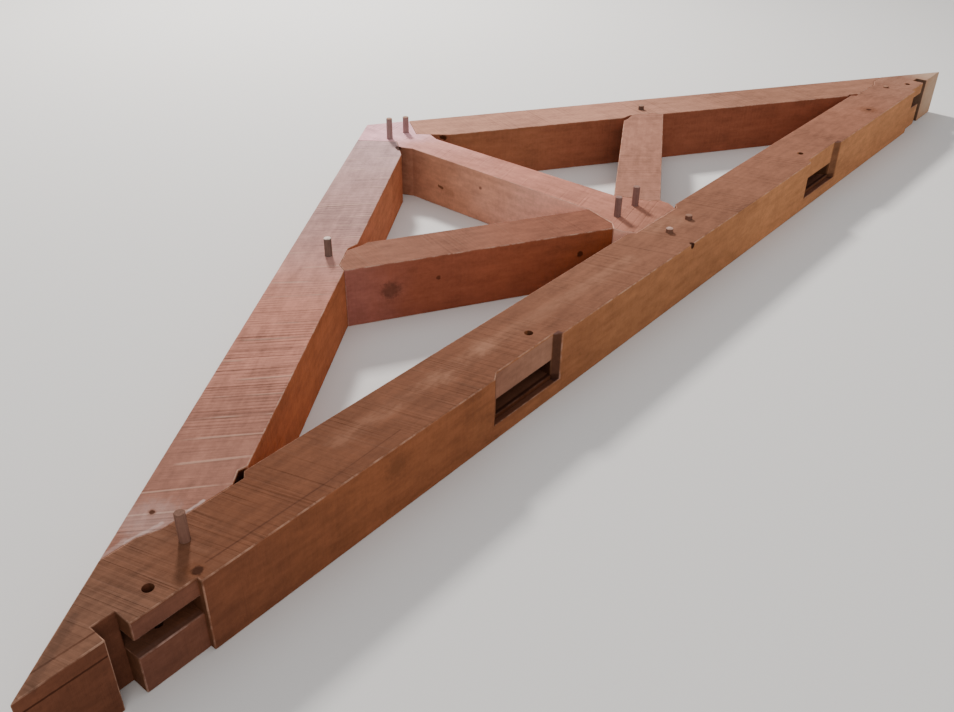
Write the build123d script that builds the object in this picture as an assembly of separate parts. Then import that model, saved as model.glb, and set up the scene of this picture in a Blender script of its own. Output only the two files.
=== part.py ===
"""A pegged king-post roof truss of rough-sawn timber, lying flat.

Sizes are millimetres.  X runs along the tie beam, Y from the tie beam to the apex,
and Z up through the thickness of the timbers.  The outlines are drawn from the
middle of the tie beam's outer face, and each finished piece is then moved so that
the origin is the bottom centre of the whole truss.
"""
import os
from math import cos, dist, radians, sin, tan

from build123d import *

# Driving dimensions of the frame
thickness = 203.2            # all timbers are flush on both faces
overall_length = 4829.0      # tail tip to tail tip
roof_pitch = 33.1            # degrees
tie_depth = 203.2
rafter_depth = 203.2
strut_width = 166.0
strut_pitch = 30.0           # degrees above the tie beam
strut_rise = 172.0           # where the strut's lower edge would cross the centre line
king_post_stock = 304.8      # width of the timber that the king post is cut from
shoulder_depth = 19.0        # how far the rafters and the king post are let into the tie
joint_gap = 0.3              # between shoulders that bear on each other

# Tenons, all at one height in the thickness
tenon_thickness = 50.8
tenon_setback = 50.8         # from the upper face
mortise_side_gap = 0.3
mortise_end_gap = 3.0

# King post
body_width_top = 142.0
body_width_bottom = 160.0    # where the upper edges of the struts meet the post
head_notch_width = 115.0     # between the inner corners of the two rafter notches
head_notch_drop = 229.0      # from the apex down to those corners
head_lip_length = 58.0       # the lip that carries the rafter's end
head_flare_height = 53.0     # the body widens to the lip over this height
joggle_lip_run = 31.4        # the short outer face under each strut
joggle_lip_rise = 26.0
foot_corner_height = 40.0    # clipped lower corner of the foot
foot_corner_run = 22.0
foot_corner_inset = 2.4
king_housing_width = 316.0   # of the housing in the tie beam, at its mouth
king_housing_slope = 26.0    # run of each end of that housing
king_tenon_width = 220.0
king_tenon_depth = 125.0

# Rafter ends
rafter_cut_pitch = 51.0      # degrees, the cut along the king post's lip
rafter_tenon_length = 62.0
rafter_tenon_margin = 8.0
heel_inner = 320.0           # inner end of the bearing shoulder, inboard of the toe
heel_front = 134.0           # foot of the sloping front shoulder
heel_toe = 86.0              # top of the sloping front shoulder
heel_nip_run = 39.0          # the inner corner is nipped off over this run and rise
heel_nip_rise = 30.0
heel_nip_end = 63.0
heel_housing_gap = 30.0      # the housing runs on past the shoulder by this much
heel_housing_slope = 16.0
heel_tenon_margin = 12.0
heel_tenon_depth = 98.0

# Strut ends
strut_housing = 23.0         # depth let into the rafter
strut_housing_slope = 36.0   # run of each end of that housing, along the rafter
strut_head_short = 14.0      # the head stops this far short of the housing's upper end
strut_clip_length = 35.0     # the upper corner of the head is cut off
strut_clip_run = 27.0
strut_clip_depth = 15.5
strut_tenon_inset = 28.0     # each edge of the tenon from the strut's edge
strut_head_tenon = 105.0     # depth in the rafter
strut_foot_tenon = 22.0      # the foot tenon ends this far from the centre line

# Housings in the tie beam for two wall posts
tail_length = 185.0          # tail beyond the wall post
wall_post_width = 203.2
wall_post_housing = 15.0
wall_post_notch_width = 50.0
wall_post_notch_depth = 63.0
wall_post_mortise_depth = 115.0
wall_post_hole = (125.0, 65.0)   # inboard of the post's outer side, and height

# Housings in the tie beam for two braces
brace_reach = 896.0          # from the wall post's inner side to the brace
brace_shift = 22.0           # both braces stand this far to the right of their mirrored places
brace_length = 300.0         # of the housing, along the outer face
brace_housing = 19.0
brace_housing_bottom = 50.8  # open to the upper face
brace_inner_slope = 21.0     # run of the housing's inner end
brace_outer_slope = 29.0     # run of its outer end
brace_mortise_bottom = 63.5
brace_mortise_width = 50.8
brace_mortise_depth = 100.0
brace_hole = (62.0, 73.0)    # outboard of the housing's inner end, and height

# Pegs and their holes
hole_radius = 12.7
peg_radius = 12.45
peg_tip_radius = 9.5
peg_tip_length = 28.0
peg_tip_clearance = 4.0      # pegs stop this far above the underside
peg_edge = 1.2

# Left and right peg of each joint: place outboard of and above the joint's corner,
# and height above the upper face
apex_pegs = ((-6.5, 46.0, 84.0), (-14.5, 45.0, 66.0))
strut_head_pegs = ((-39.0, 111.0, 61.0), (-16.0, 104.0, 18.0))
strut_foot_pegs = ((-90.0, 44.0, 71.0), (-98.0, 46.0, 71.0))
heel_pegs = ((-148.0, -82.0, 75.0), (-140.0, -78.0, 6.0))
king_post_pegs = ((54.0, -81.0, 15.0), (80.0, -78.0, 15.0))

# Values that follow from the ones above
half_length = overall_length / 2
slope = tan(radians(roof_pitch))
roof_run = (cos(radians(roof_pitch)), -sin(radians(roof_pitch)))
roof_normal = (sin(radians(roof_pitch)), cos(radians(roof_pitch)))
strut_slope = tan(radians(strut_pitch))
strut_run = (cos(radians(strut_pitch)), sin(radians(strut_pitch)))
strut_normal = (-sin(radians(strut_pitch)), cos(radians(strut_pitch)))
rafter_cut = (cos(radians(rafter_cut_pitch)), -sin(radians(rafter_cut_pitch)))
apex_rise = wall_post_housing + slope * half_length
shoulder_rise = tie_depth - shoulder_depth
tenon_top = thickness - tenon_setback
tenon_bottom = tenon_top - tenon_thickness
foot_half = king_post_stock / 2
wall_post_outer = half_length - tail_length
wall_post_inner = wall_post_outer - wall_post_width
wall_post_notch_inner = wall_post_outer - wall_post_notch_width
brace_outer = wall_post_inner - brace_reach
brace_inner = brace_outer - brace_length


def roof(x):
    """Height of the right-hand roof plane at x."""
    return apex_rise - slope * x


def rafter_inner(x):
    """Height of the right rafter's inner edge at x."""
    return roof(x) - rafter_depth / cos(radians(roof_pitch))


def strut_tenon_end(x):
    """Height at x of the line on which the right strut's head tenon ends."""
    return rafter_inner(x) + strut_head_tenon / cos(radians(roof_pitch))


def strut_lower(x):
    """Height of the right strut's lower edge at x."""
    return strut_rise + strut_slope * x


def strut_upper(x):
    """Height of the right strut's upper edge at x."""
    return strut_lower(x) + strut_width / cos(radians(strut_pitch))


def along(point, direction, distance):
    """The point that lies a distance from another along a direction."""
    return (point[0] + direction[0] * distance, point[1] + direction[1] * distance)


def crossing(point, direction, line):
    """Where a line from a point in a direction meets the height given by line(x)."""
    ahead = along(point, direction, 1)
    rise = point[1] - line(point[0])
    rise_ahead = ahead[1] - line(ahead[0])
    return along(point, direction, rise / (rise - rise_ahead))


def mirrored(points):
    """An outline's points on the left-hand side, in reverse order."""
    return [(-x, y) for x, y in reversed(points)]


def board(points, bottom=0.0, top=thickness):
    """A flat solid with the given outline between two heights."""
    outline = make_face(Polyline(*points, close=True))
    return Pos(0, 0, bottom) * extrude(outline, amount=top - bottom)


def grown(points, gap, height):
    """A flat solid whose outline is larger by a gap on every side."""
    outline = make_face(Polyline(*points, close=True))
    return extrude(offset(outline, gap, kind=Kind.INTERSECTION), amount=height)


def tenon(points):
    """A tenon with the given outline."""
    return board(points, tenon_bottom, tenon_top)


def mortise(points):
    """The hole that takes the tenon with the given outline."""
    hole = grown(points, mortise_end_gap, tenon_thickness + 2 * mortise_side_gap)
    return Pos(0, 0, tenon_bottom - mortise_side_gap) * hole


def fitted(points, *neighbours):
    """A member's body, cut back to leave the joint gap to its neighbours."""
    body = board(points)
    for neighbour in neighbours:
        body -= grown(neighbour, joint_gap, thickness)
    return body


def drilled(member, places):
    """A member with a peg hole through it at each place."""
    for place in places:
        member -= Pos(place[0], place[1], thickness / 2) * Cylinder(hole_radius, thickness * 2)
    return member


def flipped(shape):
    """The same shape on the other side of the centre line."""
    return mirror(shape, about=Plane.YZ)


# Corners that two members share, on the right-hand side
notch_corner = (head_notch_width / 2, apex_rise - head_notch_drop)
notch_top = (foot_half, roof(foot_half))
notch_length = dist(notch_corner, notch_top)
abutment = ((notch_top[0] - notch_corner[0]) / notch_length,
            (notch_top[1] - notch_corner[1]) / notch_length)
lip_end = along(notch_corner, rafter_cut, head_lip_length)
joggle_tip = (foot_half, strut_lower(foot_half))
joggle_corner = (foot_half - joggle_lip_run, joggle_tip[1] + joggle_lip_rise)
joggle_root = (body_width_bottom / 2, strut_upper(body_width_bottom / 2))
roof_toe = crossing((half_length, tie_depth), (-1, 0), roof)
heel_inner_x = roof_toe[0] - heel_inner
heel_front_x = roof_toe[0] - heel_front
strut_low = crossing(joggle_tip, strut_run, rafter_inner)
strut_high = crossing(joggle_root, strut_run, rafter_inner)
strut_housing_length = dist(strut_low, strut_high)


def in_rafter(distance, depth):
    """A point in the rafter, measured up its inner edge from the strut's lower edge."""
    return along(along(strut_low, roof_run, -distance), roof_normal, depth)


def in_strut_head(distance, depth):
    """A point in the strut, measured back and down from its head's upper corner."""
    return along(along(strut_high, strut_run, -distance), strut_normal, -depth)


strut_bearing_low = in_rafter(strut_housing_slope, strut_housing)
strut_bearing_high = in_rafter(strut_housing_length - strut_housing_slope, strut_housing)
strut_bearing_end = along(strut_bearing_high, roof_run, strut_head_short)

# Outlines of the right-hand members, and of the two that lie across the centre line
tie_half = [
    (wall_post_inner, 0), (wall_post_inner, wall_post_housing),
    (wall_post_notch_inner, wall_post_housing), (wall_post_notch_inner, wall_post_notch_depth),
    (wall_post_outer, wall_post_notch_depth), (wall_post_outer, wall_post_housing),
    (half_length, wall_post_housing), roof_toe, (roof_toe[0] - heel_toe, tie_depth),
    (heel_front_x, shoulder_rise), (heel_inner_x - heel_housing_gap, shoulder_rise),
    (heel_inner_x - heel_housing_gap - heel_housing_slope, tie_depth),
    (king_housing_width / 2, tie_depth),
    (king_housing_width / 2 - king_housing_slope, shoulder_rise)]
post_half = [
    (foot_half - foot_corner_inset - foot_corner_run, shoulder_rise),
    (foot_half - foot_corner_inset, shoulder_rise + foot_corner_height),
    joggle_tip, joggle_corner, joggle_root,
    (body_width_top / 2, lip_end[1] - head_flare_height), lip_end, notch_corner, notch_top]
rafter_outline = [
    notch_corner, notch_top, roof_toe, (roof_toe[0] - heel_toe, tie_depth),
    (heel_front_x, shoulder_rise), (heel_inner_x, shoulder_rise),
    (heel_inner_x - heel_nip_run, shoulder_rise + heel_nip_rise),
    (heel_inner_x - heel_nip_end, rafter_inner(heel_inner_x - heel_nip_end)),
    strut_low, strut_bearing_low, strut_bearing_high, strut_high,
    crossing(notch_corner, rafter_cut, rafter_inner)]
strut_outline = [
    joggle_tip, joggle_corner, joggle_root, in_strut_head(strut_clip_length, 0),
    in_strut_head(strut_clip_length - strut_clip_run, strut_clip_depth),
    strut_bearing_end, strut_bearing_low, strut_low]
tie_outline = tie_half + mirrored(tie_half)
post_outline = post_half + [(0, apex_rise)] + mirrored(post_half)

# Outlines of the tenons on the right-hand side
apex_tenon_low = along(notch_corner, abutment, rafter_tenon_margin)
apex_tenon_high = along(notch_top, abutment, -tenon_setback)
apex_tenon = [
    along(apex_tenon_low, roof_run, rafter_tenon_length),
    along(apex_tenon_low, roof_run, -rafter_tenon_length),
    along(apex_tenon_high, roof_run, -rafter_tenon_length),
    along(apex_tenon_high, roof_run, rafter_tenon_length)]
heel_tenon_foot = shoulder_rise - heel_tenon_depth
heel_tenon = [
    (heel_inner_x + heel_tenon_margin, heel_tenon_foot),
    (heel_front_x + heel_tenon_margin, heel_tenon_foot),
    (heel_front_x + heel_tenon_margin, tie_depth + shoulder_depth),
    (heel_inner_x + heel_tenon_margin, tie_depth + shoulder_depth)]
tenon_edge = strut_tenon_inset / cos(radians(strut_pitch))
head_tenon_low = crossing((0, strut_lower(0) + tenon_edge), strut_run, strut_tenon_end)
head_tenon_high = crossing((0, strut_upper(0) - tenon_edge), strut_run, strut_tenon_end)
head_tenon = [
    along(head_tenon_low, strut_run, -2 * strut_head_tenon), head_tenon_low,
    head_tenon_high, along(head_tenon_high, strut_run, -2 * strut_head_tenon)]
foot_tenon_start = foot_half + strut_tenon_inset
foot_tenon_floor = strut_lower(foot_half / 2) + tenon_edge
foot_tenon = [
    (foot_tenon_start, strut_lower(foot_tenon_start) + tenon_edge),
    (foot_tenon_start, strut_upper(foot_tenon_start) - tenon_edge),
    (strut_foot_tenon, strut_upper(strut_foot_tenon) - tenon_edge),
    (strut_foot_tenon, foot_tenon_floor), (foot_half / 2, foot_tenon_floor)]
king_tenon = [
    (-king_tenon_width / 2, shoulder_rise - king_tenon_depth),
    (king_tenon_width / 2, shoulder_rise - king_tenon_depth),
    (king_tenon_width / 2, tie_depth + shoulder_depth),
    (-king_tenon_width / 2, tie_depth + shoulder_depth)]

# Where the pegs stand, and how far each stands above the upper face
pegs = {}
for joint, corner, pair in (
        ("apex", notch_corner, apex_pegs), ("strut_head", strut_low, strut_head_pegs),
        ("strut_foot", joggle_tip, strut_foot_pegs), ("heel", roof_toe, heel_pegs),
        ("king_post", (0, shoulder_rise), king_post_pegs)):
    for side, sign, (outboard, above, height) in (
            ("left", -1, pair[0]), ("right", 1, pair[1])):
        place = (sign * (corner[0] + outboard), corner[1] + above)
        pegs[f"peg_{joint}_{side}"] = (place, height)
peg_places = [place for place, height in pegs.values()]


def make_tie_beam():
    """Bottom chord, with its tails, housings, mortises and holes."""
    beam = board(tie_outline)
    wall_post_mortise = board(
        [(wall_post_inner, 0), (wall_post_notch_inner, 0),
         (wall_post_notch_inner, wall_post_mortise_depth),
         (wall_post_inner, wall_post_mortise_depth)],
        tenon_bottom, tenon_top)
    floor_inner = brace_inner + brace_inner_slope
    floor_outer = brace_outer - brace_outer_slope
    brace_seat = board(
        [(brace_inner, 0), (floor_inner, brace_housing),
         (floor_outer, brace_housing), (brace_outer, 0)],
        brace_housing_bottom)
    brace_mortise = board(
        [(floor_inner, 0), (floor_inner, brace_mortise_depth),
         (floor_outer - brace_mortise_depth + brace_housing, brace_mortise_depth),
         (floor_outer, brace_housing), (floor_outer, 0)],
        brace_mortise_bottom, brace_mortise_bottom + brace_mortise_width)
    for cut in (wall_post_mortise, mortise(heel_tenon)):
        beam -= [cut, flipped(cut)]
    for cut in (brace_seat, brace_mortise):
        beam -= [Pos(brace_shift, 0, 0) * side for side in (cut, flipped(cut))]
    beam -= mortise(king_tenon)
    places = []
    for sign in (-1, 1):
        places.append((sign * (wall_post_outer - wall_post_hole[0]), wall_post_hole[1]))
        places.append((sign * (brace_inner + brace_hole[0]) + brace_shift, brace_hole[1]))
    return drilled(beam, places)


def make_king_post():
    """Centre post with a joggled head and foot cut from one wide timber."""
    post = fitted(post_outline, tie_outline) + tenon(king_tenon)
    for cut in (mortise(apex_tenon), mortise(foot_tenon)):
        post -= [cut, flipped(cut)]
    return post


def make_rafter():
    """Right-hand top chord, from the tie beam to the notch in the king post's head."""
    rafter = fitted(rafter_outline, tie_outline, post_outline)
    return rafter + tenon(apex_tenon) + tenon(heel_tenon) - mortise(head_tenon)


def make_strut():
    """Right-hand diagonal, from the king post's joggle to the middle of the rafter."""
    strut = fitted(strut_outline, post_outline, rafter_outline)
    return strut + tenon(head_tenon) + tenon(foot_tenon)


def make_peg(place, height):
    """A round peg with a tapered tip, driven from the upper face."""
    tip = peg_tip_clearance
    top = thickness + height
    profile = [(0, tip), (peg_tip_radius, tip), (peg_radius, tip + peg_tip_length),
               (peg_radius, top - peg_edge), (peg_radius - peg_edge, top), (0, top)]
    section = make_face(Plane.XZ * Polyline(*profile, close=True))
    return Pos(place[0], place[1], 0) * revolve(section, Axis.Z)


rafter = make_rafter()
strut = make_strut()
pieces = {
    "tie_beam": drilled(make_tie_beam(), peg_places),
    "king_post": drilled(make_king_post(), peg_places),
    "left_rafter": drilled(flipped(rafter), peg_places),
    "right_rafter": drilled(rafter, peg_places),
    "left_strut": drilled(flipped(strut), peg_places),
    "right_strut": drilled(strut, peg_places),
}
for name, (place, height) in pegs.items():
    pieces[name] = make_peg(place, height)

os.makedirs("parts", exist_ok=True)
for name, piece in pieces.items():
    export_step(Pos(0, -apex_rise / 2, 0) * piece, f"parts/{name}.step")
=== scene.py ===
"""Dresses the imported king-post truss: sawn oak timbers, driven pegs, studio and camera."""
import logging
import math
from dataclasses import dataclass
from enum import Enum
from typing import Mapping, Sequence, Union

import bmesh
import bpy
from mathutils import Matrix, Vector


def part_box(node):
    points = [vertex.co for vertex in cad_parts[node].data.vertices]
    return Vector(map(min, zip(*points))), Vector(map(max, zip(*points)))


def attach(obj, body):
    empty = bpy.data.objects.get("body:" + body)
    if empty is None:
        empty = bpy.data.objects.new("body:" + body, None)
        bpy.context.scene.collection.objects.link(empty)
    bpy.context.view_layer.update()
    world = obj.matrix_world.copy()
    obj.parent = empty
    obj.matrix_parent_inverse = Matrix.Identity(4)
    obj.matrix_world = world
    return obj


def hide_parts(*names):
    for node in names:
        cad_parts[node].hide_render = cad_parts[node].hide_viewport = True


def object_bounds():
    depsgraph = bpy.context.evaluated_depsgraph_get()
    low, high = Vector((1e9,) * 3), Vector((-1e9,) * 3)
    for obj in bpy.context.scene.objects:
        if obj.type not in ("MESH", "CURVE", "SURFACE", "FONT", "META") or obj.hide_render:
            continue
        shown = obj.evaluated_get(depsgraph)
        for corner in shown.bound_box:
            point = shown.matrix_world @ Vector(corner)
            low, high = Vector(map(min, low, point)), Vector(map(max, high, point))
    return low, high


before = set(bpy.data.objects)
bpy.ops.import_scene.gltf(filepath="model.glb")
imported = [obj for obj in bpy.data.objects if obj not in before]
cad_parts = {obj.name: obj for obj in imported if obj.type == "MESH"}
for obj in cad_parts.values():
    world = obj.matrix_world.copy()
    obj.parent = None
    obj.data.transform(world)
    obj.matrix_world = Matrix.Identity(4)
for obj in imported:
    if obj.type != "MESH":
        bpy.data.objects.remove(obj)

LOG = logging.getLogger("truss")
CAD_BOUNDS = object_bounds()
ROOT_BODY = "root"

Point = tuple[float, float, float]
Colour = tuple[float, float, float]

# In the truss's own frame Y = 0 is the middle of its height and Z = 0 the face it lies on.
# RISE is that height, and TOP the thickness of the timbers, in metres.
RISE = CAD_BOUNDS[1].y - CAD_BOUNDS[0].y
TOP = 0.2032


def at(x: float, y: float, z: float = TOP) -> Point:
    """A place given in metres from the middle of the tie beam's outer face."""
    return (x, y - RISE / 2, z)


class Signal:
    """A number that varies over a surface, so that shader maths reads as an expression."""

    def __init__(self, tree: "ShaderTree", socket: bpy.types.NodeSocket) -> None:
        """Wraps a socket.

        Args:
            tree: The material's nodes.
            socket: The output that carries the number.
        """
        self.tree = tree
        self.socket = socket

    def _math(self, operation: str, first: "Number", second: "Number") -> "Signal":
        """The result of one Math node."""
        node = self.tree.node("ShaderNodeMath", {"operation": operation}, {0: first, 1: second})
        return Signal(self.tree, node.outputs[0])

    def __add__(self, other: "Number") -> "Signal":
        """The sum of two numbers."""
        return self._math("ADD", self, other)

    def __radd__(self, other: "Number") -> "Signal":
        """The sum of two numbers."""
        return self._math("ADD", other, self)

    def __sub__(self, other: "Number") -> "Signal":
        """The difference of two numbers."""
        return self._math("SUBTRACT", self, other)

    def __rsub__(self, other: "Number") -> "Signal":
        """The difference of two numbers, the other way round."""
        return self._math("SUBTRACT", other, self)

    def __mul__(self, other: "Number") -> "Signal":
        """The product of two numbers."""
        return self._math("MULTIPLY", self, other)

    def __rmul__(self, other: "Number") -> "Signal":
        """The product of two numbers."""
        return self._math("MULTIPLY", other, self)

    def larger(self, other: "Number") -> "Signal":
        """The larger of two numbers."""
        return self._math("MAXIMUM", self, other)

    def size(self) -> "Signal":
        """The number without its sign."""
        return self._math("ABSOLUTE", self, 0.0)

    def wave(self, cycles: float) -> "Signal":
        """A sine wave of so many cycles for each whole step of the number."""
        return self._math("SINE", self * (2 * math.pi * cycles), 0.0)

    def ease(self, low: float, high: float, start: float = 0.0, end: float = 1.0) -> "Signal":
        """A smooth step.

        Args:
            low: The value at which the step starts.
            high: The value at which it ends.
            start: The result below low.
            end: The result above high.

        Returns:
            The eased number.
        """
        node = self.tree.node(
            "ShaderNodeMapRange", {"interpolation_type": "SMOOTHSTEP"},
            {0: self, 1: low, 2: high, 3: start, 4: end})
        return Signal(self.tree, node.outputs[0])


Number = Union[float, Signal]
Link = Union[bpy.types.NodeSocket, Signal, float, Sequence[float]]

# The shares of a noise's offset by which its place is moved
NOISE_SHIFT = (1.0, 0.7, 1.3)
# Settings that all noise, relief and wood share
NOISE_ROUGHNESS = 0.6
BUMP_STRENGTH = 0.9
SPECULAR_LEVEL = 0.05


class ShaderTree:
    """The nodes of one material."""

    def __init__(self, name: str) -> None:
        """Makes an empty material.

        Args:
            name: The material's name.
        """
        self.material = bpy.data.materials.new(name)
        self.material.use_nodes = True
        self.nodes = self.material.node_tree.nodes
        self.nodes.clear()

    def node(self, kind: str, settings: Mapping[str, object] | None = None,
             inputs: Mapping[Union[int, str], Link] | None = None) -> bpy.types.Node:
        """Adds one node.

        Args:
            kind: Blender's name for the type of node.
            settings: The node's own settings, set before its sockets.
            inputs: Values or links, by the socket's name or number.

        Returns:
            The new node.
        """
        node = self.nodes.new(kind)
        for key, value in (settings or {}).items():
            setattr(node, key, value)
        for key, value in (inputs or {}).items():
            if isinstance(value, Signal):
                value = value.socket
            if isinstance(value, bpy.types.NodeSocket):
                self.material.node_tree.links.new(value, node.inputs[key])
            else:
                node.inputs[key].default_value = value
        return node

    def place(self) -> bpy.types.NodeSocket:
        """The place on the surface, in metres in the truss's frame."""
        return self.node("ShaderNodeTexCoord").outputs["Object"]

    def normal(self) -> bpy.types.NodeSocket:
        """The way that the surface faces, without any smoothing."""
        return self.node("ShaderNodeNewGeometry").outputs["True Normal"]

    def part(self, vector: Link, axis: str) -> Signal:
        """One part of a vector, X, Y or Z, as a number."""
        return Signal(self, self.node("ShaderNodeSeparateXYZ", None, {0: vector}).outputs[axis])

    def vector(self, operation: str, first: Link, second: Link = (0.0, 0.0, 0.0)) -> bpy.types.Node:
        """Adds one Vector Math node.

        Args:
            operation: What it does.
            first: The first vector.
            second: The second vector.

        Returns:
            The new node.
        """
        return self.node("ShaderNodeVectorMath", {"operation": operation}, {0: first, 1: second})

    def mix(self, factor: Number, first: Link, second: Link) -> bpy.types.NodeSocket:
        """One colour mixed into another.

        Args:
            factor: How much of the second colour shows.
            first: The first colour.
            second: The second colour.

        Returns:
            The mixed colour.
        """
        def as_colour(value: Link) -> Link:
            """A plain colour with the alpha that the socket wants."""
            return (*value, 1.0) if isinstance(value, tuple) else value
        node = self.node("ShaderNodeMix", {"data_type": "RGBA"},
                         {0: factor, 6: as_colour(first), 7: as_colour(second)})
        return node.outputs[2]

    def shade(self, colour: Link, amount: Number) -> bpy.types.NodeSocket:
        """A colour made darker or lighter by a number.

        Args:
            colour: The colour.
            amount: What it is multiplied by.

        Returns:
            The new colour.
        """
        node = self.node("ShaderNodeVectorMath", {"operation": "SCALE"}, {0: colour, 3: amount})
        return node.outputs[0]

    def turned(self, place: Link, degrees: float) -> bpy.types.NodeSocket:
        """A vector in a frame that is turned about the upright axis.

        Args:
            place: The vector.
            degrees: How far the frame is turned.

        Returns:
            The vector in that frame.
        """
        node = self.node("ShaderNodeMapping", {"vector_type": "TEXTURE"},
                         {"Vector": place, "Rotation": (0.0, 0.0, math.radians(degrees))})
        return node.outputs[0]

    def noise(self, place: Link, stretch: Point, detail: float, offset: float = 0.0) -> Signal:
        """Cloudy noise, drawn out along the timber or across it.

        Args:
            place: The place on the surface.
            stretch: Cycles per metre along, across and through the timber.
            detail: How many finer layers it has.
            offset: Shifts the pattern, so that no two timbers match.

        Returns:
            A number from 0 to 1.
        """
        scaled = self.vector("MULTIPLY", place, stretch).outputs[0]
        shift = tuple(offset * share for share in NOISE_SHIFT)
        moved = self.vector("ADD", scaled, shift).outputs[0]
        node = self.node("ShaderNodeTexNoise", {"noise_dimensions": "3D"},
                         {"Vector": moved, "Scale": 1.0, "Detail": detail,
                          "Roughness": NOISE_ROUGHNESS})
        return Signal(self, node.outputs[0])

    def finish(self, colour: Link, roughness: Number, height: Signal, depth: float) -> None:
        """Ends the material in a wood shader.

        Args:
            colour: The surface's colour.
            roughness: Its roughness.
            height: The relief, from 0 to 1.
            depth: How deep that relief is, in metres.
        """
        bump = self.node("ShaderNodeBump", None,
                         {"Strength": BUMP_STRENGTH, "Distance": depth, "Height": height})
        shader = self.node("ShaderNodeBsdfPrincipled", None, {
            "Base Color": colour, "Roughness": roughness, "Normal": bump.outputs[0],
            "Specular IOR Level": SPECULAR_LEVEL})
        self.node("ShaderNodeOutputMaterial", None, {"Surface": shader.outputs[0]})


class MarkKind(Enum):
    """The marks that a timber carries: colour, softness of the rim and patchiness, 0 to 1."""

    KNOT = ((0.060, 0.018, 0.008), 0.45, 0.0)
    HALO = ((0.16, 0.058, 0.026), 1.0, 0.2)
    BRUISE = ((0.56, 0.40, 0.36), 0.9, 0.3)
    WORN = ((0.40, 0.20, 0.125), 1.0, 0.7)
    PENCIL = ((0.080, 0.028, 0.015), 0.8, 0.3)
    # Cracks and knot cores, and also painted shade in the gaps between timbers and in a chip
    CHECK_AND_GAP_SHADE = ((0.036, 0.010, 0.004), 0.5, 0.0)
    SMUDGE = ((0.050, 0.028, 0.020), 1.0, 0.4)
    PALE = ((0.58, 0.42, 0.30), 1.0, 0.1)


# A mark's rim wanders by a share of its radius, up to WIDEST_WOBBLE in metres. A fully soft
# mark starts to fade at 1 - SOFT_SHARE of its radius, and it is gone at RIM_REACH radii.
# Patchy marks come and go between the noise values of PATCH_EDGES.
RIM_WOBBLE = 0.95
WIDEST_WOBBLE = 0.06
SOFT_SHARE = 0.75
RIM_REACH = 1.15
PATCH_EDGES = (0.36, 0.62)
SHORTEST_STRETCH = 1e-6


@dataclass(frozen=True)
class Mark:
    """A knot, bruise or line: everything near a straight stretch of the surface."""

    kind: MarkKind
    start: Point
    end: Point
    radius: float
    strength: float = 0.8

    def mask(self, tree: ShaderTree, place: bpy.types.NodeSocket, wobble: Signal,
             patches: Signal) -> Signal:
        """Where the mark shows.

        Args:
            tree: The material's nodes.
            place: The place on the surface.
            wobble: Noise that breaks up the rim.
            patches: Noise that breaks up the mark itself.

        Returns:
            A number from 0 to the mark's strength.
        """
        start, end = Vector(self.start), Vector(self.end)
        length = (end - start).length
        if length < SHORTEST_STRETCH:
            away = tree.vector("DISTANCE", place, self.start).outputs["Value"]
        else:
            step = (end - start) / length
            reach = tree.vector("SUBTRACT", place, self.start).outputs[0]
            ahead = Signal(tree, tree.vector("DOT_PRODUCT", reach, tuple(step)).outputs["Value"])
            held = tree.node("ShaderNodeMath", {"operation": "MINIMUM"},
                             {0: ahead.larger(0.0), 1: length}).outputs[0]
            nearest = tree.node("ShaderNodeVectorMath", {"operation": "SCALE"},
                                {0: tuple(step), 3: held}).outputs[0]
            away = tree.vector("DISTANCE", reach, nearest).outputs["Value"]
        _, softness, patchiness = self.kind.value
        rim = (wobble - 0.5) * min(self.radius * RIM_WOBBLE, WIDEST_WOBBLE)
        ragged = Signal(tree, away) + rim
        shown = ragged.ease(self.radius * (1.0 - SOFT_SHARE * softness),
                            self.radius * RIM_REACH, self.strength, 0.0)
        return shown * patches.ease(*PATCH_EDGES, 1.0 - patchiness, 1.0)


@dataclass(frozen=True)
class Recess:
    """A box-shaped part of a timber whose surfaces are painted darker as shade, or freshly cut and
    paler.
    """

    low: Point
    high: Point
    tint: Colour
    soft: float = 0.006

    def colour(self, tree: ShaderTree, place: bpy.types.NodeSocket,
               colour: Link) -> bpy.types.NodeSocket:
        """Tints a colour inside the box.

        Args:
            tree: The material's nodes.
            place: The place on the surface.
            colour: The colour outside the box.

        Returns:
            The colour.
        """
        middle = tuple((a + b) / 2 for a, b in zip(self.low, self.high))
        half = tuple((b - a) / 2 for a, b in zip(self.low, self.high))
        reach = tree.vector("SUBTRACT", place, middle).outputs[0]
        size = tree.vector("ABSOLUTE", reach).outputs[0]
        outside = tree.vector("SUBTRACT", size, half).outputs[0]
        farthest = tree.part(outside, "X").larger(tree.part(outside, "Y"))
        farthest = farthest.larger(tree.part(outside, "Z"))
        tinted = tree.vector("MULTIPLY", colour, self.tint).outputs[0]
        return tree.mix(farthest.ease(-self.soft, self.soft, 1.0, 0.0), colour, tinted)


Tones = tuple[tuple[float, Colour], ...]


class Layer(Enum):
    """The noise in sawn wood: cycles per metre, detail and offset from the timber's seed."""

    DRIFT = ((4.0, 0.5, 0.5), 1.0, 1.0)
    CLUSTERS = ((5.0, 1.6, 1.6), 2.0, 0.0)
    FADING = ((9.0, 6.0, 6.0), 2.0, 5.0)
    STROKES = ((88.0, 1.1, 1.1), 2.0, 0.0)
    FINE = ((260.0, 7.0, 7.0), 3.0, 3.0)
    GRAIN = ((2.4, 60.0, 60.0), 4.0, 7.0)
    CLOUDS = ((3.2, 3.2, 3.2), 4.0, 11.0)
    MOTTLE = ((13.0, 30.0, 30.0), 4.0, 9.0)
    SPECKLE = ((85.0, 85.0, 85.0), 3.0, 0.0)
    BROKEN = ((26.0, 26.0, 26.0), 4.0, 2.0)


@dataclass(frozen=True)
class Weights:
    """How much each pattern counts for in the wood's shade or in its relief."""

    strokes: float
    teeth: float
    fine: float
    grain: float
    mottle: float
    speckle: float
    clouds: float = 0.0
    scores: float = 0.0


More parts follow.
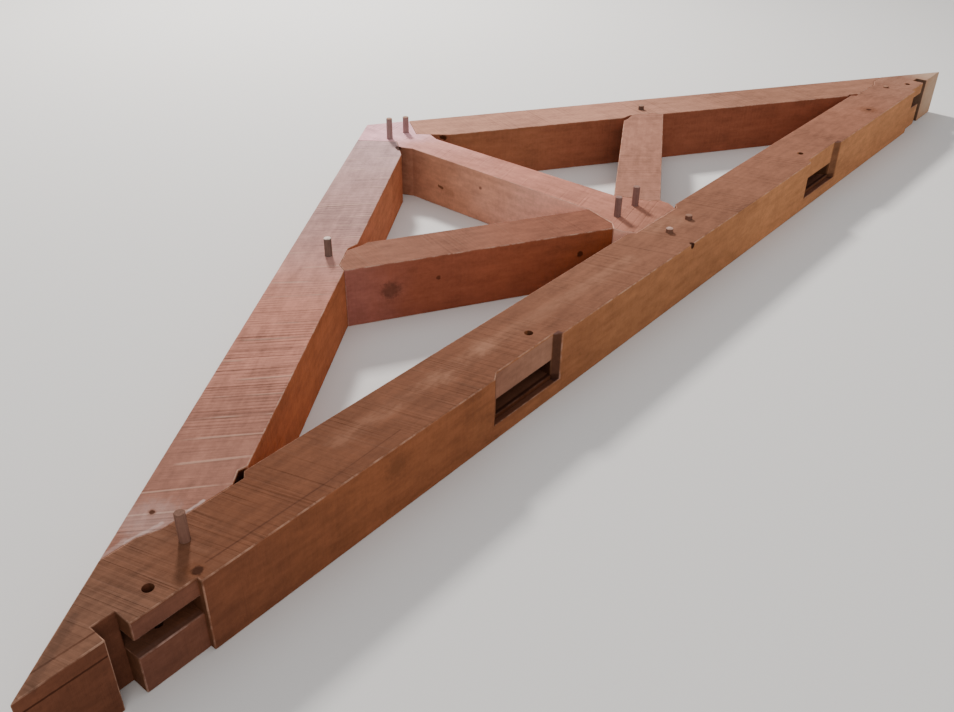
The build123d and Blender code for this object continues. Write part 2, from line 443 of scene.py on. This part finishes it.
SHADING = Weights(strokes=0.36, teeth=0.38, fine=0.7, grain=0.36, mottle=0.76, speckle=0.34,
                  clouds=0.46)
RELIEF = Weights(strokes=0.5, teeth=0.3, fine=0.4, grain=0.2, mottle=0.3, speckle=0.25,
                 scores=0.4)
# The depth of a relief of 1, in metres
BUMP_DEPTH = 0.0022
# Long scores for each metre, and how far slow noise moves the saw lines, in metres
SCORE_CYCLES = 11.8
LINE_STRAY = 0.12
# How strong the saw lines are on the flanks, and how much stronger on the broad faces. Below
# those faces they weaken between two depths, given in metres.
FLANK_STRENGTH = 0.20
FACE_STRENGTH = 0.80
SKIN = (0.004, 0.012)
# What a normal's own part has to be for a level surface, an outer flank and end grain
LEVEL = (0.4, 0.8)
OUTWARD = (-0.9, -0.5)
END_GRAIN = (0.45, 0.75)
# The values of its noise or wave between which each pattern fades in. A densely sawn stretch
# fades out between two shares of half its length.
CLUSTER_EDGES = (0.36, 0.58)
STROKE_EDGES = (0.50, 0.66)
TEETH_EDGES = (-0.3, 1.0)
TEETH_FADING = (0.34, 0.56)
SCORE_EDGES = (0.94, 1.0)
SCORE_FADING = (0.44, 0.60)
BROKEN_EDGES = (0.38, 0.66)
DENSE_EDGES = (0.6, 1.2)
# How much of its clusters a timber keeps outside its densely sawn stretch
SPARSE_SHARE = 0.6
# How much bare wood shows along an arris, where it is whole and where it is broken
ARRIS_SHOWN = (0.04, 0.45)
ROUGHNESS = 0.76
ROUGHNESS_SPREAD = 0.25
# How far slow noise moves the tones along a timber, in metres
TONE_STRAY = 0.5


@dataclass(frozen=True)
class SawnWood:
    """Rough-sawn timber: leaning saw lines, grain along it and paler worn arrises.

    Each set of tones is a list of stations along the timber with the colour there: face for
    the two broad faces, outer for the flank that faces -Y and side for the other flank.
    Heading is the timber's angle in the truss, and lean is the angle of the saw lines from
    square, both in degrees. Lines and scores are strengths, and pitch is the teeth's lines
    for each metre. Dense holds the two ends of a densely sawn stretch, worn is the colour
    of bare wood, and ends is how bright the end faces are: darker end grain, and on the tie
    also painted shade on its end faces.
    """

    name: str
    heading: float
    face: Tones
    side: Tones
    outer: Tones
    seed: float
    lines: float = 0.5
    lean: float = 14.0
    pitch: float = 70.0
    scores: float = 0.03
    dense: tuple[float, ...] = ()
    worn: Colour = (0.66, 0.44, 0.33)
    ends: float = 0.70
    marks: tuple[Mark, ...] = ()
    recesses: tuple[Recess, ...] = ()

    def build(self, arris: bool) -> bpy.types.Material:
        """Makes the material.

        Args:
            arris: Whether this is the paler one for the worn arrises.

        Returns:
            The material.
        """
        tree = ShaderTree(f"{self.name}_{'arris' if arris else 'sawn'}")
        place = tree.place()
        along = tree.turned(place, self.heading)
        across = tree.turned(place, self.heading + self.lean)
        fine = self._layer(tree, across, Layer.FINE)
        grain = self._layer(tree, along, Layer.GRAIN)
        clouds = self._layer(tree, place, Layer.CLOUDS)
        mottle = self._layer(tree, along, Layer.MOTTLE)
        speckle = self._layer(tree, place, Layer.SPECKLE)
        strokes, teeth, scores = self._saw_lines(tree, place, along, across)

        shade = 1.0 - strokes * (self.lines * SHADING.strokes)
        shade = shade - teeth * (self.lines * SHADING.teeth)
        shade = shade + (fine - 0.5) * (self.lines * SHADING.fine)
        shade = shade + (grain - 0.5) * SHADING.grain
        shade = shade + (clouds - 0.5) * SHADING.clouds
        shade = shade + (mottle - 0.5) * SHADING.mottle
        shade = shade + (speckle - 0.5) * SHADING.speckle
        colour = tree.shade(self._ground(tree, along, clouds), shade)
        colour = tree.mix(scores * self.scores, colour, self.worn)
        if arris:
            broken = self._layer(tree, place, Layer.BROKEN)
            colour = tree.mix(broken.ease(*BROKEN_EDGES, *ARRIS_SHOWN), colour, self.worn)
        for mark in self.marks:
            mask = mark.mask(tree, place, speckle, mottle)
            colour = tree.mix(mask, colour, mark.kind.value[0])
        for recess in self.recesses:
            colour = recess.colour(tree, place, colour)

        relief = scores * RELIEF.scores - strokes * RELIEF.strokes
        relief = relief - teeth * RELIEF.teeth + fine * RELIEF.fine
        relief = relief + grain * RELIEF.grain + speckle * RELIEF.speckle
        relief = relief + mottle * RELIEF.mottle
        tree.finish(colour, ROUGHNESS + (fine - 0.5) * ROUGHNESS_SPREAD, relief, BUMP_DEPTH)
        return tree.material

    def _layer(self, tree: ShaderTree, place: Link, layer: Layer) -> Signal:
        """One layer of noise.

        Args:
            tree: The material's nodes.
            place: The place on the surface, turned as the layer needs.
            layer: Which layer.

        Returns:
            A number from 0 to 1.
        """
        stretch, detail, offset = layer.value
        return tree.noise(place, stretch, detail, self.seed + offset)

    def _saw_lines(self, tree: ShaderTree, place: Link, along: Link,
                   across: Link) -> tuple[Signal, Signal, Signal]:
        """The saw's strokes, its teeth's fine lines and its long scores.

        Args:
            tree: The material's nodes.
            place: The place on the surface.
            along: The place, turned so that X runs along the timber.
            across: The place, turned so that X runs across the saw lines.

        Returns:
            The three patterns, each from 0 to 1.
        """
        stray = (self._layer(tree, across, Layer.DRIFT) - 0.5) * LINE_STRAY
        run = tree.part(across, "X") + stray
        clusters = self._layer(tree, across, Layer.CLUSTERS).ease(*CLUSTER_EDGES)
        if self.dense:
            start, end = self.dense
            away = (tree.part(along, "X") - (start + end) / 2).size()
            reach = (end - start) / 2
            dense = away.ease(reach * DENSE_EDGES[0], reach * DENSE_EDGES[1], 1.0, 0.0)
            clusters = (clusters * SPARSE_SHARE).larger(dense)
        faded = self._layer(tree, across, Layer.FADING)
        strokes = self._layer(tree, across, Layer.STROKES).ease(*STROKE_EDGES) * clusters
        teeth = run.wave(self.pitch).ease(*TEETH_EDGES) * clusters * faded.ease(*TEETH_FADING)
        scores = run.wave(SCORE_CYCLES).ease(*SCORE_EDGES) * faded.ease(*SCORE_FADING)

        from_middle = (tree.part(place, "Z") - TOP / 2).size()
        skin = from_middle.ease(TOP / 2 - SKIN[1], TOP / 2 - SKIN[0])
        level = self._flatness(tree).ease(*LEVEL, 0.0, FACE_STRENGTH)
        strength = FLANK_STRENGTH + level * skin
        return strokes * strength, teeth * strength, scores * strength * strength

    def _flatness(self, tree: ShaderTree) -> Signal:
        """How level the surface lies, from 0 on the flanks to 1 on the faces."""
        return tree.part(tree.normal(), "Z").size()

    def _ground(self, tree: ShaderTree, along: bpy.types.NodeSocket,
                clouds: Signal) -> bpy.types.NodeSocket:
        """The wood's colour before saw lines and marks.

        Args:
            tree: The material's nodes.
            along: The place, turned so that X runs along the timber.
            clouds: Slow noise.

        Returns:
            The colour.
        """
        station = tree.part(along, "X") + (clouds - 0.5) * TONE_STRAY
        normal = tree.normal()
        lengthwise = tree.part(tree.turned(normal, self.heading), "X").size()
        flat = self._flatness(tree).ease(*LEVEL)
        outward = tree.part(normal, "Y").ease(*OUTWARD, 1.0, 0.0)
        # End faces are multiplied by ends: darker end grain, and on the tie also painted shade
        end_grain_and_shade = lengthwise.ease(*END_GRAIN, 1.0, self.ends)
        flank = tree.mix(outward, self._tone(tree, station, self.side),
                         self._tone(tree, station, self.outer))
        colour = tree.mix(flat, flank, self._tone(tree, station, self.face))
        return tree.shade(colour, end_grain_and_shade)

    def _tone(self, tree: ShaderTree, station: Signal, tones: Tones) -> Link:
        """One set of tones, blended along the timber.

        Args:
            tree: The material's nodes.
            station: The distance along the timber.
            tones: The stations and their colours.

        Returns:
            The colour.
        """
        colour: Link = tones[0][1]
        for (before, _), (after, tone) in zip(tones, tones[1:]):
            colour = tree.mix(station.ease(before, after), colour, tone)
        return colour


@dataclass(frozen=True)
class PegWood:
    """Split and shaved pegs: grain up the side, a head colour; pale heads are painted sunlight.

    Head_level is what a normal's upright part has to be for the head's colour, which shows
    at least_head or more, between the noise values of head_edges.
    """

    name: str
    side: Colour
    end: Colour
    seed: float
    grain_stretch: Point = (190.0, 190.0, 9.0)
    stain_stretch: Point = (60.0, 60.0, 60.0)
    detail: float = 3.0
    stain_offset: float = 5.0
    relief: float = 0.0012
    head_level: tuple[float, float] = (0.55, 0.85)
    head_edges: tuple[float, float] = (0.25, 0.60)
    least_head: float = 0.5
    grain_share: float = 0.7
    stain_share: float = 0.4
    roughness: float = 0.62
    roughness_spread: float = 0.2

    def build(self) -> bpy.types.Material:
        """Makes the material.

        Returns:
            The material.
        """
        tree = ShaderTree(self.name)
        place = tree.place()
        grain = tree.noise(place, self.grain_stretch, self.detail, self.seed)
        stains = tree.noise(place, self.stain_stretch, self.detail, self.seed + self.stain_offset)
        # Upward-facing heads take the head colour, which on the paler heads is painted sunlight
        end = tree.part(tree.normal(), "Z").ease(*self.head_level)
        end = end * stains.ease(*self.head_edges, self.least_head, 1.0)
        colour = tree.mix(end, self.side, self.end)
        shade = 1.0 + (grain - 0.5) * self.grain_share + (stains - 0.5) * self.stain_share
        colour = tree.shade(colour, shade)
        roughness = self.roughness + (stains - 0.5) * self.roughness_spread
        tree.finish(colour, roughness, grain, self.relief)
        return tree.material


def placed(shape: bmesh.types.BMesh, name: str) -> bpy.types.Object:
    """Puts a finished mesh into the scene.

    Args:
        shape: The mesh, which is freed.
        name: The name of the object and of its mesh.

    Returns:
        The new object.
    """
    mesh = bpy.data.meshes.new(name)
    shape.to_mesh(mesh)
    shape.free()
    thing = bpy.data.objects.new(name, mesh)
    bpy.context.collection.objects.link(thing)
    return thing


@dataclass
class Timber:
    """One sawn member: the CAD solid with its sharp corners worn to narrow arrises.

    Arris, weld and shortest_arris are in metres: the depth of the wear, the gap that is
    closed first and the shortest edge that wears.
    """

    node: str
    slot: str
    finish: SawnWood
    arris: float = 0.0030
    weld: float = 0.0004
    shortest_arris: float = 0.011
    sharp_degrees: float = 35.0
    flat_degrees: float = 0.5

    def build(self) -> bpy.types.Object:
        """Makes the worn mesh in place of the CAD node.

        Returns:
            The new piece.
        """
        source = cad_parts[self.node]
        shape = bmesh.new()
        shape.from_mesh(source.data)
        bmesh.ops.remove_doubles(shape, verts=shape.verts, dist=self.weld)
        bmesh.ops.dissolve_limit(shape, angle_limit=math.radians(self.flat_degrees),
                                 verts=shape.verts, edges=shape.edges)
        edges = [edge for edge in shape.edges if self._is_arris(edge)]
        bmesh.ops.bevel(shape, geom=edges, offset=self.arris, segments=2, profile=0.5,
                        affect="EDGES", material=1, clamp_overlap=False)
        piece = placed(shape, f"{self.node}_timber")
        piece.matrix_world = source.matrix_world.copy()
        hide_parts(self.node)
        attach(piece, ROOT_BODY)
        return piece

    def _is_arris(self, edge: bmesh.types.BMEdge) -> bool:
        """Whether an edge is a sharp outer corner that wears."""
        return (len(edge.link_faces) == 2 and edge.is_convex
                and edge.calc_face_angle() > math.radians(self.sharp_degrees)
                and edge.calc_length() > self.shortest_arris)

    def dress(self, piece: bpy.types.Object) -> None:
        """Gives the timber its sawn and worn materials.

        Args:
            piece: The timber's object.
        """
        piece.data.materials.append(self.finish.build(arris=False))
        piece.data.materials.append(self.finish.build(arris=True))


@dataclass
class Peg:
    """One driven peg: shaved facets, a burred head and a tapered tip.

    Tip_share and facet are shares of the radius, and tip_length and burr are in metres.
    Facet_turn is how far the facets are turned for each metre along the truss. Neck is the
    height of the burr below the top, and rounding its roll inwards there, both in burrs.
    """

    node: str
    finish: PegWood
    sides: int = 20
    tip_length: float = 0.028
    tip_share: float = 0.76
    burr: float = 0.0016
    facet: float = 0.035
    facets: int = 5
    facet_turn: float = 40.0
    neck: float = 3.0
    rounding: float = 1.2

    def build(self) -> bpy.types.Object:
        """Makes the peg in place of the CAD node.

        Returns:
            The new piece.
        """
        low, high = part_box(self.node)
        centre = (Vector(low) + Vector(high)) / 2
        radius = (high[0] - low[0]) / 2
        bottom, top = low[2], high[2]
        rings = ((bottom, self.tip_share), (bottom + self.tip_length, 1.0), (TOP, 1.0),
                 (top - self.neck * self.burr, 1.0 - self.facet / 2), (top - self.burr, 1.0),
                 (top, 1.0 - self.rounding * self.burr / radius))
        shape = bmesh.new()
        loops = []
        for level, share in rings:
            loop = []
            for step in range(self.sides):
                angle = 2 * math.pi * step / self.sides
                shave = math.cos(self.facets * angle + centre.x * self.facet_turn)
                facet = 1.0 - self.facet * (0.5 + 0.5 * shave)
                spread = radius * share * facet
                loop.append(shape.verts.new((centre.x + spread * math.cos(angle),
                                             centre.y + spread * math.sin(angle), level)))
            loops.append(loop)
        for lower, upper in zip(loops, loops[1:]):
            for step in range(self.sides):
                after = (step + 1) % self.sides
                shape.faces.new((lower[step], lower[after], upper[after], upper[step]))
        shape.faces.new(list(reversed(loops[0])))
        shape.faces.new(loops[-1])
        piece = placed(shape, f"{self.node}_shaved")
        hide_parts(self.node)
        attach(piece, ROOT_BODY)
        return piece

    def dress(self, piece: bpy.types.Object) -> None:
        """Gives the peg its material.

        Args:
            piece: The peg's object.
        """
        piece.data.materials.append(self.finish.build())


@dataclass(frozen=True)
class Lamp:
    """One soft square light: place, target, side in metres, power in watts and colour."""

    name: str
    place: Point
    target: Point
    size: float
    power: float
    colour: Colour


LAMPS = (
    Lamp("key", at(2.5, 5.6, 4.6), at(0.0, 0.6, 0.1), 0.9, 700.0, (1.0, 0.96, 0.92)),
    Lamp("fill", at(-4.6, -3.4, 3.2), at(-0.6, 0.5, 0.1), 4.0, 90.0, (1.0, 0.94, 0.90)),
    Lamp("crown", at(0.3, 0.6, 5.0), at(0.0, 0.6, 0.1), 5.0, 60.0, (0.98, 0.98, 1.0)),
)


@dataclass
class Studio:
    """Pale floor, soft light and the camera of the photograph."""

    floor_size: float = 40.0
    image_width: float = 954.0
    focal_pixels: float = 959.96
    sensor: float = 36.0
    eye: Point = (-2.7125, -1.2554, 1.6172)
    heading: float = 39.40
    dip: float = 33.38
    roll: float = 0.83
    far_clip: float = 100.0
    floor_drop: float = 0.0005
    floor_colour: Colour = (0.80, 0.79, 0.77)
    floor_roughness: float = 0.9
    sky_colour: Colour = (0.90, 0.90, 0.92)
    sky_strength: float = 0.45

    def build(self) -> None:
        """Makes the floor, the lights and the camera."""
        self._floor()
        for lamp in LAMPS:
            self._light(lamp)
        world = bpy.data.worlds.new("soft_room")
        world.use_nodes = True
        sky = world.node_tree.nodes["Background"]
        sky.inputs["Color"].default_value = (*self.sky_colour, 1.0)
        sky.inputs["Strength"].default_value = self.sky_strength
        bpy.context.scene.world = world
        self._camera()

    def _floor(self) -> None:
        """A pale floor under the truss."""
        shape = bmesh.new()
        bmesh.ops.create_grid(shape, x_segments=1, y_segments=1, size=self.floor_size / 2)
        floor = placed(shape, "studio_floor")
        floor.location.z = -self.floor_drop
        tree = ShaderTree("pale_floor")
        shader = tree.node("ShaderNodeBsdfPrincipled", None, {
            "Base Color": (*self.floor_colour, 1.0), "Roughness": self.floor_roughness})
        tree.node("ShaderNodeOutputMaterial", None, {"Surface": shader.outputs[0]})
        floor.data.materials.append(tree.material)

    def _light(self, lamp: Lamp) -> None:
        """Hangs one light.

        Args:
            lamp: The light.
        """
        light = bpy.data.lights.new(lamp.name, "AREA")
        light.size = lamp.size
        light.energy = lamp.power
        light.color = lamp.colour
        holder = bpy.data.objects.new(lamp.name, light)
        bpy.context.collection.objects.link(holder)
        holder.location = lamp.place
        aim = Vector(lamp.target) - Vector(lamp.place)
        holder.rotation_euler = aim.to_track_quat("-Z", "Y").to_euler()

    def _camera(self) -> None:
        """The camera, at the photograph's place and angle."""
        heading, dip, roll = map(math.radians, (self.heading, self.dip, self.roll))
        ahead = Vector((math.cos(dip) * math.cos(heading), math.cos(dip) * math.sin(heading),
                        -math.sin(dip)))
        level = ahead.cross(Vector((0.0, 0.0, 1.0))).normalized()
        upright = level.cross(ahead)
        right = level * math.cos(roll) + upright * math.sin(roll)
        above = upright * math.cos(roll) - level * math.sin(roll)
        lens = bpy.data.cameras.new("camera")
        lens.sensor_fit = "HORIZONTAL"
        lens.sensor_width = self.sensor
        lens.lens = self.focal_pixels / self.image_width * self.sensor
        lens.clip_end = self.far_clip
        camera = bpy.data.objects.new("camera", lens)
        bpy.context.collection.objects.link(camera)
        turn = Matrix((right, above, -ahead)).transposed().to_4x4()
        camera.matrix_world = Matrix.Translation(at(*self.eye)) @ turn
        bpy.context.scene.camera = camera


def spot(kind: MarkKind, x: float, y: float, radius: float, z: float = TOP,
         strength: float = 0.85) -> Mark:
    """A round mark at one place.

    Args:
        kind: What it is.
        x: Metres along the tie beam from its middle.
        y: Metres from the tie beam's outer face.
        radius: The mark's radius.
        z: Metres above the face that the truss lies on.
        strength: How much it covers.

    Returns:
        The mark.
    """
    return Mark(kind, at(x, y, z), at(x, y, z), radius, strength)


TIE_MARKS = (
    Mark(MarkKind.WORN, at(-1.55, 0.124), at(-1.05, 0.118), 0.034, 0.26),
    Mark(MarkKind.WORN, at(-1.05, 0.118), at(-0.30, 0.098), 0.034, 0.26),
    spot(MarkKind.WORN, -1.006, 0.126, 0.045, strength=0.32),
    spot(MarkKind.WORN, -1.190, 0.112, 0.045, strength=0.28),
    Mark(MarkKind.WORN, at(-0.06, 0.165), at(0.05, 0.120), 0.060, 0.35),
    Mark(MarkKind.PENCIL, at(-2.36, 0.050), at(-2.228, 0.046), 0.0028),
    Mark(MarkKind.SMUDGE, at(-2.240, 0.108), at(-2.375, 0.022), 0.0150, 0.5),
    Mark(MarkKind.PENCIL, at(-1.99, 0.036), at(-1.66, 0.032), 0.0026, 0.8),
    Mark(MarkKind.PENCIL, at(-1.66, 0.032), at(-1.42, 0.040), 0.0020, 0.6),
    Mark(MarkKind.CHECK_AND_GAP_SHADE, at(-2.40, 0.015, 0.168), at(-2.236, 0.015, 0.163), 0.0028),
    spot(MarkKind.HALO, 1.617, 0.065, 0.055, strength=0.60),
    spot(MarkKind.KNOT, 1.617, 0.065, 0.013, strength=0.95),
    spot(MarkKind.HALO, -2.016, 0.032, 0.030, strength=0.80),
    spot(MarkKind.CHECK_AND_GAP_SHADE, -2.014, 0.030, 0.014, strength=0.85),
    # Painted shade in a chipped hollow on the tie's outer top arris
    spot(MarkKind.CHECK_AND_GAP_SHADE, -0.078, 0.002, 0.013, 0.196, 1.0),
    spot(MarkKind.HALO, -1.478, 0.000, 0.044, 0.146, 0.65),
    spot(MarkKind.PALE, 2.340, 0.015, 0.185, 0.110, 0.80),
)
# What the wood's colour is multiplied by in each kind of recess: the two seats are paler where
# freshly cut, and the rest are painted shade in mortises, ledges, notches, gaps and on housing ends
POST_SEAT = (1.05, 1.15, 1.35)
BRACE_SEAT = (1.00, 1.25, 1.80)
SHADED = (0.55, 0.50, 0.50)
DEEP_SHADE = (0.30, 0.27, 0.27)
LEDGE_SHADE = (0.45, 0.33, 0.27)
RIGHT_MORTISE_SHADE = (0.22, 0.20, 0.20)
RIGHT_NOTCH_SHADE = (0.34, 0.26, 0.22)
HEEL_GAP_SHADE = (0.15, 0.12, 0.12)
LEFT_BRACE_END_SHADE = (0.55, 0.58, 0.75)
RIGHT_BRACE_END_SHADE = (0.48, 0.48, 0.55)
CRISP = 0.002
TIE_RECESSES = (
    Recess(at(-2.178, 0.010, -0.010), at(-2.028, 0.030, 0.198), POST_SEAT, CRISP),
    Recess(at(-2.180, 0.020, 0.1016), at(-2.026, 0.120, 0.1524), LEDGE_SHADE),
    Recess(at(-1.103, 0.012, 0.116), at(-0.830, 0.030, 0.198), BRACE_SEAT, CRISP),
    Recess(at(-1.112, 0.002, 0.040), at(-0.800, 0.030, 0.066), SHADED),
    Recess(at(-1.112, 0.0175, 0.0500), at(-0.800, 0.030, 0.0650), SHADED, CRISP),
    Recess(at(-1.122, 0.022, 0.0635), at(-0.800, 0.105, 0.1143), DEEP_SHADE),
    Recess(at(0.850, 0.002, 0.040), at(1.160, 0.030, 0.066), SHADED),
    Recess(at(0.850, 0.0175, 0.0500), at(1.160, 0.030, 0.0650), SHADED, CRISP),
    Recess(at(0.850, 0.022, 0.0635), at(1.160, 0.105, 0.1143), DEEP_SHADE),
    Recess(at(2.026, 0.018, 0.1016), at(2.180, 0.120, 0.1524), RIGHT_MORTISE_SHADE),
    Recess(at(2.180, 0.004, -0.01), at(2.2300, 0.064, 0.2020), RIGHT_NOTCH_SHADE, CRISP),
    Recess(at(-1.850, 0.150, -0.01), at(-1.745, 0.210, 0.1990), HEEL_GAP_SHADE, 0.004),
    Recess(at(-0.832, 0.0015, 0.045), at(-0.806, 0.0185, 0.21), LEFT_BRACE_END_SHADE, CRISP),
    Recess(at(1.120, 0.0015, 0.045), at(1.154, 0.0185, 0.21), RIGHT_BRACE_END_SHADE, CRISP),
)
# Painted shade in the gap where the left rafter meets the king post's head
JOINT_GAP_SHADE = Mark(MarkKind.CHECK_AND_GAP_SHADE, at(-0.101, 1.312), at(-0.112, 1.291), 0.0140, 0.95)
LEFT_RAFTER_MARKS = (
    spot(MarkKind.BRUISE, -1.990, 0.225, 0.080, strength=0.35),
    Mark(MarkKind.BRUISE, at(-1.94, 0.186), at(-1.88, 0.190), 0.005, 0.7),
    Mark(MarkKind.BRUISE, at(-2.06, 0.206), at(-1.98, 0.198), 0.006, 0.6),
    Mark(MarkKind.BRUISE, at(-2.13, 0.203), at(-2.06, 0.212), 0.009, 0.4),
    spot(MarkKind.HALO, -1.974, 0.243, 0.014, strength=0.7),
    spot(MarkKind.KNOT, -1.974, 0.243, 0.007, strength=0.9),
    Mark(MarkKind.BRUISE, at(-0.160, 1.463), at(-0.085, 1.418), 0.009, 0.5),
    JOINT_GAP_SHADE,
)
# Painted shade in the gap at the left rafter's heel
LEFT_RAFTER_RECESSES = (
    Recess(at(-1.850, 0.150, -0.01), at(-1.750, 0.218, 0.1990), HEEL_GAP_SHADE, 0.004),
)
POST_MARKS = (
    JOINT_GAP_SHADE,
    Mark(MarkKind.KNOT, at(-0.076, 1.121, 0.085), at(-0.076, 1.104, 0.081), 0.007, 0.75),
    Mark(MarkKind.HALO, at(-0.076, 1.110, 0.079), at(-0.076, 1.055, 0.073), 0.022, 0.30),
    spot(MarkKind.KNOT, -0.076, 0.907, 0.008, 0.138, 0.65),
    Mark(MarkKind.BRUISE, at(-0.098, 0.454), at(-0.088, 0.440), 0.006, 0.5),
)
RIGHT_RAFTER_MARKS = (
    # Painted shade in the gaps where the right rafter meets the king post's head and the right
    # strut's upper corner
    Mark(MarkKind.CHECK_AND_GAP_SHADE, at(0.078, 1.298, 0.203), at(0.126, 1.267, 0.189), 0.0135, 0.9),
    Mark(MarkKind.CHECK_AND_GAP_SHADE, at(0.775, 0.813), at(0.800, 0.820), 0.007, 0.8),
)
LEFT_STRUT_MARKS = (
    spot(MarkKind.SMUDGE, -0.828, 0.652, 0.040, 0.105, 0.75),
    spot(MarkKind.KNOT, -0.255, 0.319, 0.012, 0.126, 0.9),
    spot(MarkKind.KNOT, -0.690, 0.571, 0.008, 0.125, 0.7),
)

# The tones: stations along the timber, in metres from the middle of the truss, and colours
FLANK = ((0.0, (0.30, 0.12, 0.06)),)
TIE_FACE = ((-2.3, (0.19, 0.09, 0.055)), (-1.8, (0.16, 0.06, 0.03)),
            (0.0, (0.23, 0.10, 0.06)), (1.5, (0.28, 0.12, 0.075)),
            (2.2, (0.31, 0.15, 0.10)))
TIE_OUTER = ((-2.2, (0.15, 0.055, 0.03)), (-1.5, (0.26, 0.09, 0.04)),
             (-0.2, (0.38, 0.16, 0.07)), (0.7, (0.53, 0.23, 0.10)))
LEFT_RAFTER_FACE = ((-1.8, (0.31, 0.14, 0.10)), (-1.2, (0.50, 0.21, 0.15)),
                    (-0.4, (0.43, 0.25, 0.22)), (0.3, (0.50, 0.32, 0.31)))
LEFT_RAFTER_SIDE = ((-1.4, (0.42, 0.13, 0.05)), (-0.6, (0.48, 0.17, 0.08)))
RAFTER_ROOF = ((0.0, (0.34, 0.13, 0.07)),)
RIGHT_RAFTER_FACE = ((0.4, (0.47, 0.23, 0.16)), (1.5, (0.30, 0.14, 0.09)))
RIGHT_RAFTER_SIDE = ((-0.6, (0.35, 0.16, 0.08)), (0.8, (0.27, 0.09, 0.05)))
POST_FACE = ((-0.6, (0.36, 0.15, 0.10)), (0.0, (0.54, 0.22, 0.16)),
             (0.45, (0.64, 0.29, 0.24)), (0.7, (0.86, 0.47, 0.51)))
# The king post's sides darken from the foot up to the neck below its head: painted shade
POST_SIDE = ((-0.3, (0.86, 0.48, 0.37)), (0.3, (0.58, 0.28, 0.17)), (0.6, (0.25, 0.10, 0.06)))
LEFT_STRUT_FACE = ((-0.6, (0.26, 0.11, 0.07)), (0.1, (0.24, 0.09, 0.055)))
# The left strut's side is paler and greyer towards its rafter end: a painted sheen
LEFT_STRUT_SIDE = ((-0.85, (0.36, 0.14, 0.11)), (-0.5, (0.29, 0.09, 0.05)),
                   (0.4, (0.29, 0.08, 0.03)))
RIGHT_STRUT_FACE = ((0.0, (0.35, 0.16, 0.11)),)
RIGHT_STRUT_SIDE = ((0.0, (0.25, 0.09, 0.04)),)

ROOF_PITCH = 33.1
STRUT_PITCH = 30.0

# The tie's ends of 0.45 darken its end faces: end grain and painted shade
TIE_WOOD = SawnWood(
    name="tie", heading=0.0, face=TIE_FACE, side=FLANK, outer=TIE_OUTER, seed=2.0,
    lines=0.25, lean=16.0, pitch=44.0, worn=(0.60, 0.36, 0.25), ends=0.45, marks=TIE_MARKS,
    recesses=TIE_RECESSES)
LEFT_RAFTER_WOOD = SawnWood(
    name="left_rafter", heading=ROOF_PITCH, face=LEFT_RAFTER_FACE, side=RAFTER_ROOF,
    outer=LEFT_RAFTER_SIDE, seed=5.0, lines=0.66, scores=0.30, dense=(-1.70, -1.00),
    marks=LEFT_RAFTER_MARKS, recesses=LEFT_RAFTER_RECESSES)
RIGHT_RAFTER_WOOD = SawnWood(
    name="right_rafter", heading=-ROOF_PITCH, face=RIGHT_RAFTER_FACE, side=RAFTER_ROOF,
    outer=RIGHT_RAFTER_SIDE, seed=9.0, lines=0.35, marks=RIGHT_RAFTER_MARKS)
POST_WOOD = SawnWood(
    name="king_post", heading=90.0, face=POST_FACE, side=POST_SIDE, outer=POST_SIDE,
    seed=13.0, lines=0.10, ends=1.3, marks=POST_MARKS)
LEFT_STRUT_WOOD = SawnWood(
    name="left_strut", heading=-STRUT_PITCH, face=LEFT_STRUT_FACE, side=LEFT_STRUT_SIDE,
    outer=LEFT_STRUT_SIDE, seed=17.0, lines=0.18, marks=LEFT_STRUT_MARKS)
RIGHT_STRUT_WOOD = SawnWood(
    name="right_strut", heading=STRUT_PITCH, face=RIGHT_STRUT_FACE, side=RIGHT_STRUT_SIDE,
    outer=RIGHT_STRUT_SIDE, seed=21.0, lines=0.30)

TIMBERS = (
    Timber("tie_beam", "tie_wood", TIE_WOOD),
    Timber("left_rafter", "rafter_wood", LEFT_RAFTER_WOOD),
    Timber("right_rafter", "rafter_wood", RIGHT_RAFTER_WOOD),
    Timber("king_post", "post_wood", POST_WOOD),
    Timber("left_strut", "strut_wood", LEFT_STRUT_WOOD),
    Timber("right_strut", "strut_wood", RIGHT_STRUT_WOOD),
)
# The colours of each peg's side and of its head; the pale heads are painted sunlight and the
# darkest sides painted shade
PEG_SEED_STEP = 3.0
PEG_TONES = {
    "peg_apex_left": ((0.31, 0.21, 0.20), (0.42, 0.23, 0.15)),
    "peg_apex_right": ((0.31, 0.20, 0.19), (0.40, 0.22, 0.14)),
    "peg_strut_head_left": ((0.20, 0.135, 0.11), (0.80, 0.64, 0.56)),
    "peg_strut_head_right": ((0.13, 0.08, 0.06), (0.38, 0.22, 0.16)),
    "peg_strut_foot_left": ((0.25, 0.145, 0.125), (0.29, 0.17, 0.14)),
    "peg_strut_foot_right": ((0.25, 0.14, 0.12), (0.30, 0.17, 0.13)),
    "peg_heel_left": ((0.24, 0.125, 0.09), (0.17, 0.085, 0.058)),
    "peg_heel_right": ((0.20, 0.09, 0.055), (0.32, 0.17, 0.11)),
    "peg_king_post_left": ((0.24, 0.12, 0.08), (0.55, 0.36, 0.30)),
    "peg_king_post_right": ((0.20, 0.10, 0.07), (0.30, 0.16, 0.11)),
}


def main() -> None:
    """Builds and dresses every piece, then sets up the studio."""
    logging.basicConfig(level=logging.INFO, format="%(name)s: %(message)s")
    for timber in TIMBERS:
        piece = timber.build()
        timber.dress(piece)
        LOG.info("%s: %d faces", piece.name, len(piece.data.polygons))
    for number, (node, (side, end)) in enumerate(PEG_TONES.items()):
        peg = Peg(node, PegWood(f"{node}_wood", side, end, number * PEG_SEED_STEP))
        piece = peg.build()
        peg.dress(piece)
        LOG.info("%s: %d faces", piece.name, len(piece.data.polygons))
    Studio().build()
    LOG.info("studio ready")


if __name__ == "__main__":
    main()
